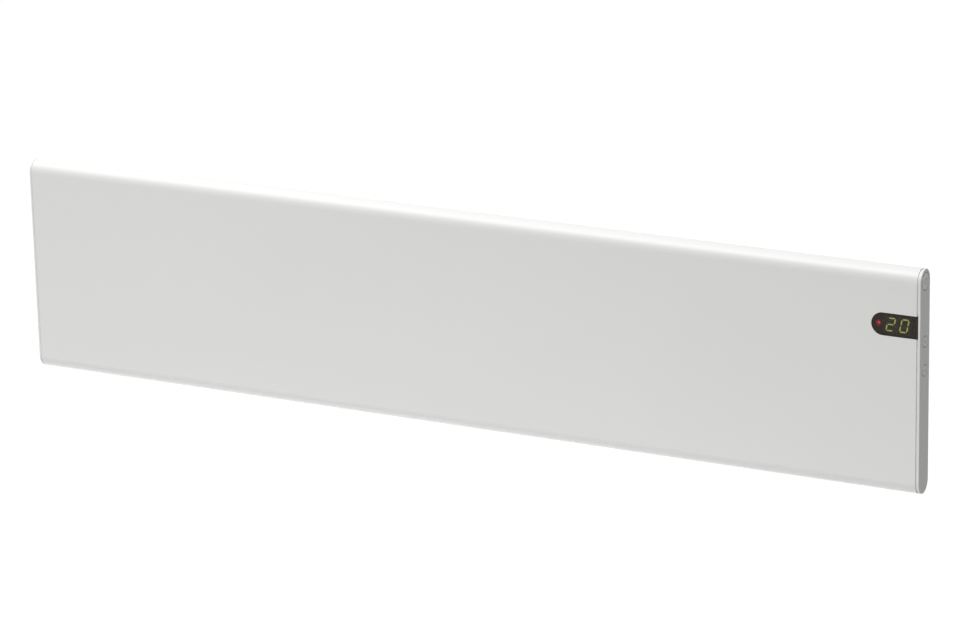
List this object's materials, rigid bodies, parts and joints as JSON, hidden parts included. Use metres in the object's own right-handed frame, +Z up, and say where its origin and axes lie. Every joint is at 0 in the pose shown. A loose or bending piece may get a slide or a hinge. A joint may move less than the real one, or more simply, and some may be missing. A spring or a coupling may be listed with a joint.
{
  "type": "wall panel convector heater",
  "caption": "Slim white wall convector: round-edged steel panel, louvred rear casing on a hook-on wall bracket, smoked digital display and push buttons on the end cap.",
  "frame": {"origin": "centre of the wall bracket's back face, level with the middle of the panel's height", "axes": "+X along the heater to the viewer's right, +Y into the wall, +Z up"},
  "size_m": [1.0904, 0.084, 0.25],
  "materials": {
    "panel_enamel": "white powder coat, satin",
    "casing_enamel": "white powder coat, satin",
    "cap_plastic": "white ABS, fine moulded texture",
    "button_plastic": "white ABS, fine moulded texture",
    "lens_acrylic": "smoked acrylic, polished",
    "display_black": "black ABS",
    "segment_green": "lit yellow-green",
    "led_red": "lit red",
    "board_laminate": "green glass-epoxy laminate",
    "switch_black": "black nylon",
    "relay_blue": "blue relay case",
    "transformer_black": "potted black",
    "capacitor_sleeve": "dark sleeve",
    "nylon_white": "natural nylon",
    "nylon_grey": "light grey nylon",
    "zinc_steel": "zinc plated",
    "galvanised_steel": "galvanised sheet",
    "shield_aluminium": "bright rolled sheet",
    "fin_aluminium": "mill finish extrusion",
    "rod_steel": "stainless sheath",
    "bead_ceramic": "unglazed steatite",
    "silicone_red": "silicone",
    "cutout_bakelite": "phenolic with tinned tabs",
    "sensor_epoxy": "epoxy bead in sleeve",
    "lead_insulation": "silicone insulation"
  },
  "bodies": {
    "bracket": {"wall_bracket": "galvanised_steel"},
    "heater": {"front_panel": "panel_enamel", "rear_casing": "casing_enamel", "hanger_plates": "galvanised_steel", "outlet_grille": "casing_enamel", "inlet_grille": "casing_enamel", "grille_rivets": "zinc_steel", "casing_screws": "zinc_steel", "cap_screws": "zinc_steel", "end_cap_left": "cap_plastic", "end_cap_right": "cap_plastic", "button_board": "board_laminate", "button_switches": "switch_black", "button_board_screws": "zinc_steel", "display_window": "lens_acrylic", "display_carrier": "display_black", "display_board": "board_laminate", "display_screws": "zinc_steel", "display_module": "display_black", "display_digits": "segment_green", "status_led": "led_red", "heat_shield": "shield_aluminium", "element_fins": "fin_aluminium", "element_rod": "rod_steel", "rod_beads": "bead_ceramic", "rod_pins": "rod_steel", "element_supports": "galvanised_steel", "support_bushes": "silicone_red", "overheat_cutout": "cutout_bakelite", "air_sensor": "sensor_epoxy", "divider_plate": "galvanised_steel", "divider_grommet": "silicone_red", "power_board": "board_laminate", "board_standoffs": "nylon_white", "power_relay": "relay_blue", "supply_transformer": "transformer_black", "supply_capacitor": "capacitor_sleeve", "terminal_block": "nylon_white", "terminal_screws": "zinc_steel", "earth_stud": "zinc_steel", "lead_long": "lead_insulation", "lead_short": "lead_insulation", "lead_clips": "nylon_white", "cable_gland": "nylon_grey", "gland_locknut": "nylon_grey"},
    "power_key": {"power_button": "button_plastic"},
    "plus_key": {"plus_button": "button_plastic"},
    "minus_key": {"minus_button": "button_plastic"}
  },
  "joints": [
    {"name": "lift_off", "type": "slide", "parent": "bracket", "child": "heater", "axis": [0, 0, 1], "range_m": [0, 0.012]},
    {"name": "power_press", "type": "slide", "parent": "heater", "child": "power_key", "axis": [-1, 0, 0], "range_m": [0, 0.001], "stiffness_N_per_m": 600},
    {"name": "plus_press", "type": "slide", "parent": "heater", "child": "plus_key", "axis": [-1, 0, 0], "range_m": [0, 0.001], "stiffness_N_per_m": 600},
    {"name": "minus_press", "type": "slide", "parent": "heater", "child": "minus_key", "axis": [-1, 0, 0], "range_m": [0, 0.001], "stiffness_N_per_m": 600}
  ]
}
